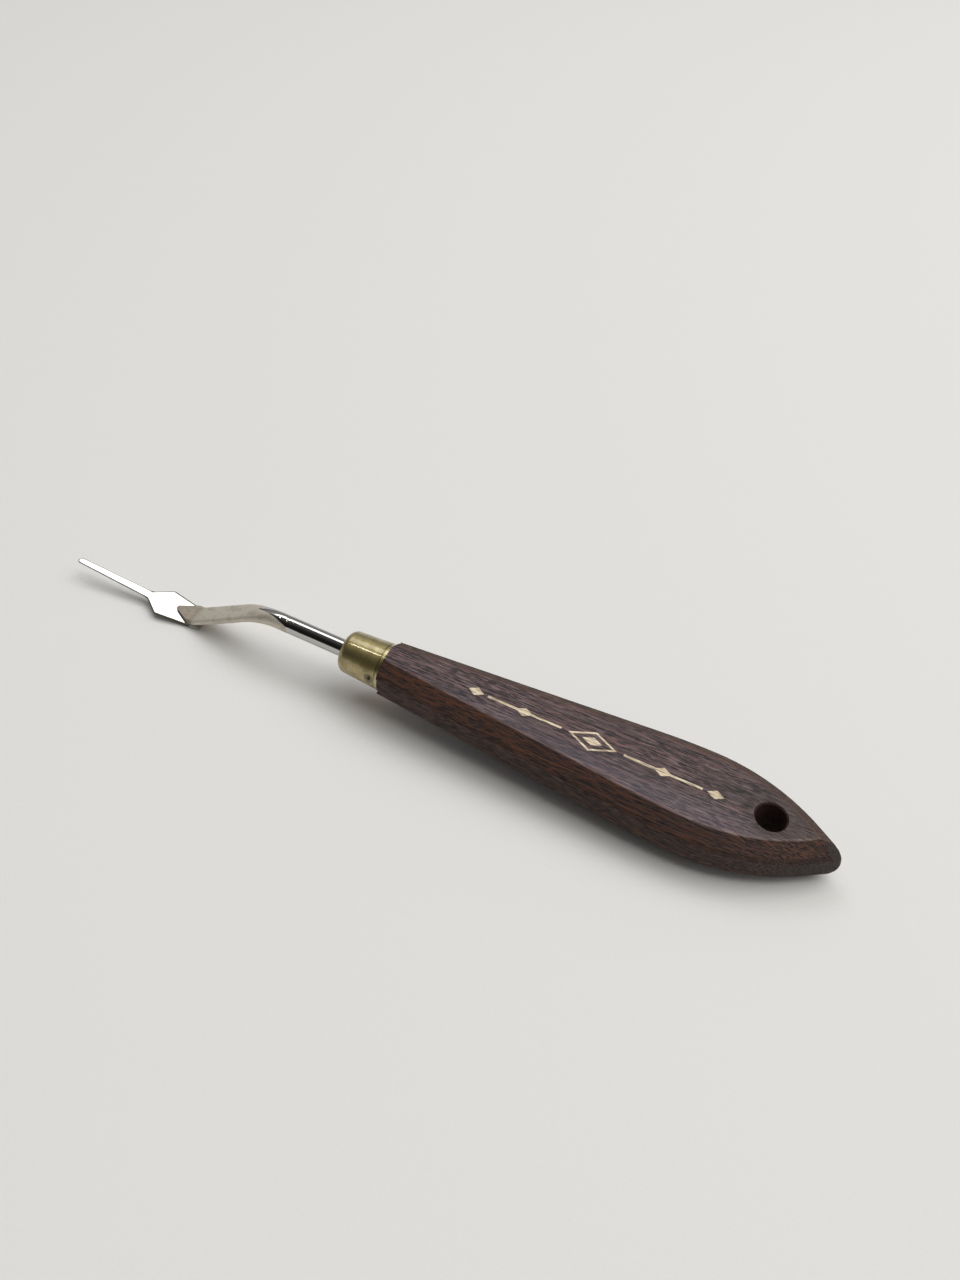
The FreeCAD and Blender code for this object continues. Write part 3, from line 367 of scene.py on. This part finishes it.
steel, bench, surface, place = new_finish("polished_spring_steel")
along, across, _ = split(bench, place)
from_heel = bench.add("MapRange", {"Value": along, "From Min": heel_station, "From Max": tip_station})
outline = bench.add("ValToRGB", {"Fac": from_heel.outputs["Result"]})
ramp = outline.color_ramp
for at, half_width in OUTLINE:
    spot = ramp.elements.new(at / OUTLINE[-1][0])
    spot.color = (half_width / WIDEST,) * 3 + (1.0,)
ramp.elements.remove(ramp.elements[0])
ramp.elements.remove(ramp.elements[-1])
half_width_here = bench.times(outline.outputs["Color"], WIDEST)
inside = bench.calc("SUBTRACT", half_width_here, bench.calc("ABSOLUTE", across))
narrower_near_side = bench.step(across, 0.3, -0.3, 0.0, NARROWER_BY)
narrower_at_heel = bench.step(along, heel_station - 3.0, heel_station - 1.0)
from_edge = bench.calc("ADD", bench.calc("ADD", inside, narrower_near_side), narrower_at_heel)
edge = bench.step(from_edge, *EDGE_BAND)
print("blade from", round(heel_station, 1), "to", round(tip_station, 1), "mm behind the shoulder")

# %% [markdown]
# Steel is paler or darker only by what it mirrors, so its own colour stays close to even. The very tip has
# lost its shine to paint and cleaning.

# %% Blade: buffed steel
buffing = bench.cloud(place, (4.0, 0.5, 4.0), detail=4.0, roughness=0.7)
handling = bench.cloud(place, (0.25, 0.3, 0.3))
worn_tip = bench.times(bench.step(along, tip_station + 1.4, tip_station + 0.2), 0.6)
colour = bench.cover(handling, swatch(206, 204, 198), swatch(196, 193, 185))
colour = bench.cover(worn_tip, colour, swatch(140, 130, 106))
surface.inputs["Metallic"].default_value = 1.0
# The darker colour along the edge is a painted reflection: the blade's thin dark outline.
bench.feed(surface.inputs["Base Color"], bench.cover(edge, colour, swatch(84, 76, 63)))
shine = bench.calc("ADD", bench.times(buffing, 0.07), bench.times(handling, 0.07))
bench.feed(surface.inputs["Roughness"], bench.calc("ADD", shine, bench.times(edge, 0.3)))
bench.relief(surface, buffing, depth=0.004, strength=0.3)
dress("blade", steel)

# %% [markdown]
# ## The shank
# The shank starts as a polished rod. Where the press has flattened it into the neck and the foot, the die
# leaves a dull, slightly streaky skin, and only the round part behind keeps its mirror. Two materials would
# meet in a hard line, so one material holds both skins, with masks between them. They meet on a slant,
# because the die bites earlier on the near side than on the far side. The foot is a little duller still, and
# its colour is painted darker, as painted shade.

# %% Shank: where each skin lies
SLANT = 4.2
SLANT_REACH = (-1.8, 0.25)
PRESSED_END = -31.2
FOOT_BEGINS = -48.8
FOOT_SHADE_RUN = 1.6

shank_steel, bench, surface, place = new_finish("rod_steel")
along, across, _ = split(bench, place)
slanted = bench.calc("MINIMUM", bench.calc("MAXIMUM", across, SLANT_REACH[0]), SLANT_REACH[1])
limit = bench.calc("ADD", along, bench.times(slanted, SLANT))
pressed = bench.step(limit, PRESSED_END + 0.5, PRESSED_END - 0.5)
# From here on the foot is a little duller, and its colour turns to painted shade.
foot_shade_and_dullness = bench.step(along, FOOT_BEGINS, FOOT_BEGINS - FOOT_SHADE_RUN)
print("the mirror of the rod ends", -PRESSED_END, "mm in front of the shoulder, on a slant of", SLANT)

# %% [markdown]
# With those two masks the shank's colour, dullness and relief are each a choice between a polished value
# and a pressed one. The rod just behind the neck has been squeezed a little, so its mirror wobbles there,
# and that is a soft relief that fades away backwards.

# %% Shank: colour, dullness and relief
MIRROR = 0.045
SQUEEZED_LENGTH = 6.0

streaks = bench.cloud(place, (0.5, 2.2, 2.2), detail=4.0, roughness=0.65)
smudges = bench.step(bench.cloud(place, (0.35, 0.5, 0.5), detail=3.0), 0.52, 0.68)
neck_colour = bench.cover(streaks, swatch(198, 191, 178), swatch(226, 219, 206))
neck_colour = bench.cover(bench.times(smudges, 0.35), neck_colour, swatch(156, 141, 122))
# The foot's darker colour is painted shade.
shaded_foot_colour = bench.cover(streaks, swatch(150, 142, 129), swatch(184, 176, 163))
neck_colour = bench.cover(foot_shade_and_dullness, neck_colour, shaded_foot_colour)
surface.inputs["Metallic"].default_value = 1.0
bench.feed(surface.inputs["Base Color"], bench.cover(pressed, swatch(188, 187, 184), neck_colour))
dullness = bench.calc("ADD", bench.step(streaks, 0.3, 0.7, 0.66, 0.54), bench.times(foot_shade_and_dullness, 0.12))
bench.feed(surface.inputs["Roughness"], bench.calc("ADD", bench.times(pressed, dullness), MIRROR))
beside_the_neck = bench.step(limit, PRESSED_END + SQUEEZED_LENGTH, PRESSED_END)
squeezed = bench.times(beside_the_neck, bench.cloud(place, (0.5, 0.8, 0.8)))
grain = bench.calc("ADD", bench.times(pressed, streaks, 0.12), squeezed)
bench.relief(surface, grain, depth=0.18, strength=0.35)
dress("shank", shank_steel)

# %% [markdown]
# ## The ferrule
# The brass ferrule was drawn and then turned, so it carries fine rings around it, and it has dulled since:
# the bright yellow has gone olive in patches, grime sits in the groove beside the rim and round the punched
# dimple, and only the rim itself is rubbed bright. Its lower side is painted more golden, a painted
# reflection of the paper under it. A thin lacquer over it all still gives one sharp line of light, so the
# brass is a dull metal under a clear coat. The rings are far finer than the model's faces, so they are
# relief.

# %% Ferrule
RIM_FRONT = -0.7
GROOVE_FRONT = -1.0
DIMPLE = (-2.0, -4.95, 0.62)
DIMPLE_GRIME = (1.5, 0.8)
REFLECTED_PAPER_BELOW = (1.0, -4.0)

brass, bench, surface, place = new_finish("turned_brass")
along, _, height = split(bench, place)
rings = bench.cloud(place, (7.0, 0.5, 0.5), detail=3.0, roughness=0.6)
patina = bench.cloud(place, (0.5, 0.45, 0.45), detail=4.0)
rim = bench.step(along, RIM_FRONT, RIM_FRONT + 0.1)
ahead_of_the_rim = bench.step(along, RIM_FRONT + 0.1, RIM_FRONT)
groove = bench.times(bench.step(along, GROOVE_FRONT - 0.15, GROOVE_FRONT), ahead_of_the_rim)
dimple = bench.near(place, DIMPLE, *DIMPLE_GRIME)
grime = bench.calc("MAXIMUM", bench.times(groove, 0.35), bench.times(dimple, 0.75))

colour = bench.cover(bench.step(patina, 0.35, 0.65), swatch(172, 158, 110), swatch(144, 130, 82))
# The lower side's golden colour is a painted reflection of the paper below.
colour = bench.cover(bench.step(height, *REFLECTED_PAPER_BELOW, 0.0, 0.7), colour, swatch(206, 172, 112))
colour = bench.cover(bench.times(bench.step(rings, 0.45, 0.65), 0.25), colour, swatch(128, 112, 70))
colour = bench.cover(bench.times(rim, 0.35), colour, swatch(206, 190, 142))
bench.feed(surface.inputs["Base Color"], bench.cover(grime, colour, swatch(62, 50, 28)))
surface.inputs["Metallic"].default_value = 1.0
surface.inputs["Coat Weight"].default_value = 1.0
surface.inputs["Coat Roughness"].default_value = 0.045
dull = bench.calc("ADD", bench.times(rings, 0.10), bench.step(patina, 0.3, 0.7, 0.34, 0.44))
bench.feed(surface.inputs["Roughness"], bench.calc("SUBTRACT", dull, bench.times(rim, 0.12)))
bench.relief(surface, rings, depth=0.005, strength=0.3)
dress("ferrule", brass)

# %% [markdown]
# ## The handle
# The handle is a dark stained hardwood. Its look has three layers: slow bands of colour along the grain,
# fine fibres, and pores that show as short dark dashes because the tool cut them lengthwise. All three are
# patterns in space that are drawn out along the grain, so that they run through the wood from face to face
# as real grain does. A flat picture of wood wrapped round the handle would break at every bevel.

# %% Wood: bands, fibres and pores
PORES_PER_MM = (0.40, 3.1, 3.1)
PORE_EDGE = (0.52, 0.28)

wood, bench, surface, place = new_finish("stained_hardwood")
along, across, height = split(bench, place)
bands = bench.cloud(place, (0.02, 0.35, 0.35), detail=3.0)
fibres = bench.step(bench.cloud(place, (0.07, 3.0, 3.0), detail=4.0, roughness=0.72), 0.41, 0.59)
bright_fibres = bench.step(bench.cloud(place, (0.14, 3.5, 3.5), detail=3.0, roughness=0.6), 0.53, 0.64)
crowding = bench.step(bench.cloud(place, (0.12, 1.3, 1.3)), 0.24, 0.48)
pores = bench.times(bench.step(bench.cells(place, PORES_PER_MM), *PORE_EDGE), crowding)
print("a pore is about", [round(sum(PORE_EDGE) / each, 2) for each in PORES_PER_MM[:2]], "mm long and wide")

# %% [markdown]
# The wood's stain is a redder brown on the bevels. The broad faces are painted a cool purplish brown:
# part stain and part painted sheen, the light from above that their varnish mirrors. End grain drinks the
# stain so much that it goes nearly black. Along the broad faces' rounded edges a paler brown is a painted
# highlight, where the rounding catches the light. Towards the near edge the broad face is painted a little
# greyer, more painted sheen, and towards the hanging hole it turns darker and browner. The hole is drilled
# afterwards, so its wall has less grain to show. Which kind of surface a spot belongs to is read from the
# way it faces, and the hole from the distance to its axis.

# %% Wood: stain
FACE_EDGE = (0.86, 0.97)
ROUNDED_EDGE = (0.86, 0.93)
FLAT_AGAIN = (0.999, 0.985)

squareness = bench.squareness(knife_up)
on_the_flat = bench.step(squareness, *FACE_EDGE)
# A paler brown along the broad faces' rounded edges, a painted highlight.
painted_edge_highlight = bench.times(bench.step(squareness, *ROUNDED_EDGE), bench.step(squareness, *FLAT_AGAIN), 0.35)
end_grain = bench.times(bench.step(bench.squareness(backwards), 0.35, 0.6), 0.75)

# The purplish grey of the broad faces and their pale fibres is painted sheen over the stain.
flat_colour_with_sheen = bench.cover(fibres, swatch(36, 20, 24), swatch(101, 71, 70))
bevel_colour = bench.cover(fibres, swatch(40, 21, 12), swatch(84, 49, 32))
colour = bench.cover(on_the_flat, bevel_colour, flat_colour_with_sheen)
fibre_colour_with_sheen = bench.cover(on_the_flat, swatch(84, 54, 37), swatch(146, 124, 126))
colour = bench.cover(bench.times(bright_fibres, 0.5), colour, fibre_colour_with_sheen)
colour = bench.cover(bench.times(pores, 0.9), colour, swatch(12, 6, 9))
colour = bench.cover(bench.step(bands, 0.3, 0.7, 0.35, 0.0), colour, swatch(30, 17, 17))
# Painted sheen: the broad face greys towards its near edge.
near_edge_sheen = bench.times(on_the_flat, bench.step(across, -0.5, -5.5, 0.0, 0.22))
colour = bench.cover(near_edge_sheen, colour, swatch(110, 102, 116))
browner = bench.step(along, HOLE_STATION - 7.0, HOLE_STATION + 2.0, 0.0, 0.7)
colour = bench.cover(bench.times(on_the_flat, browner), colour, swatch(46, 28, 21))
# The painted highlight along the rounded edges.
colour = bench.cover(painted_edge_highlight, colour, swatch(108, 76, 62))
colour = bench.cover(end_grain, colour, swatch(20, 11, 8))
seen_from_above = bench.stretched(place, (1.0, 1.0, 0.0))
in_the_hole = bench.near(seen_from_above, (HOLE_STATION, 0.0, 0.0), HOLE_RADIUS + 0.1, HOLE_RADIUS)
stained = bench.cover(in_the_hole, colour, swatch(68, 44, 43))
print("stain mixed for broad faces, bevels, edges and end grain")

# %% [markdown]
# ## Foil ornament
# Handles of this kind carry a line of gilding pressed into the broad face. This one has a plain workshop
# border: an open lozenge in the middle, with rules and small lozenges on both sides. It could be a mesh
# laid on the wood, but foil is thinner than the varnish, so it is drawn in the finish itself. The distances
# from the middle and from the centre line, taken without their signs, make one drawing serve both halves.

# %% Foil: the drawing
FOIL_MIDDLE = 45.0
FOIL_ASIDE = -0.4
FOIL_EDGE = 0.12

from_centre = bench.calc("ABSOLUTE", bench.calc("SUBTRACT", along, FOIL_MIDDLE))
aside = bench.calc("ABSOLUTE", bench.calc("SUBTRACT", across, FOIL_ASIDE))


def lozenge(station, half_length, half_width):
    """One inside a lozenge, fading to nothing over its edge."""
    apart = bench.calc("ABSOLUTE", bench.calc("SUBTRACT", from_centre, station))
    out_along = bench.calc("DIVIDE", apart, half_length)
    out_across = bench.calc("DIVIDE", aside, half_width)
    return bench.step(bench.calc("ADD", out_along, out_across), 1.0, 1.0 - FOIL_EDGE / half_width)


def rule(start, end, half_width):
    """One along a straight rule on the centre line."""
    begun = bench.step(from_centre, start, start + 0.2)
    between = bench.times(begun, bench.step(from_centre, end, end - 0.2))
    return bench.times(bench.step(aside, half_width + 0.05, half_width - 0.05), between)


open_lozenge = bench.calc("SUBTRACT", lozenge(0.0, 5.2, 2.5), lozenge(0.0, 4.3, 2.05))
foil = open_lozenge
shapes = [lozenge(0.0, 2.2, 1.05), rule(6.4, 22.4, 0.25), lozenge(14.4, 2.0, 1.1), lozenge(24.9, 1.8, 1.1)]
for shape in shapes:
    foil = bench.calc("MAXIMUM", foil, shape)
print(1 + len(shapes), "foil shapes")

# %% [markdown]
# Foil only holds on the upper broad face, and it breaks where a pore leaves nothing to hold on to. Over
# everything lies a thin varnish, smoother on the sanded broad faces than on the bevels. The pores stay
# open, so they are the relief.

# %% Foil and varnish on the wood
BROAD_FACE = 5.0
unbroken = bench.calc("SUBTRACT", 1.0, bench.times(pores, 0.5))
pressed_foil = bench.times(foil, unbroken, bench.step(height, BROAD_FACE - 0.1, BROAD_FACE + 0.1))
foil_colour = bench.cover(fibres, swatch(190, 170, 140), swatch(228, 212, 184))
bench.feed(surface.inputs["Base Color"], bench.cover(pressed_foil, stained, foil_colour))
surface.inputs["Specular IOR Level"].default_value = 0.4
varnish = bench.step(on_the_flat, 0.0, 1.0, 0.66, 0.42)
roughened = bench.times(bench.calc("SUBTRACT", pores, fibres), 0.15)
bench.feed(surface.inputs["Roughness"], bench.calc("ADD", varnish, roughened))
bench.relief(surface, bench.calc("SUBTRACT", bench.times(fibres, 0.35), pores), depth=0.06, strength=0.7)
dress("handle", wood)

# %% [markdown]
# ## Last look
# The plain view transform shows every colour as it was mixed.

# %% Finish
bpy.context.scene.view_settings.view_transform = "Standard"
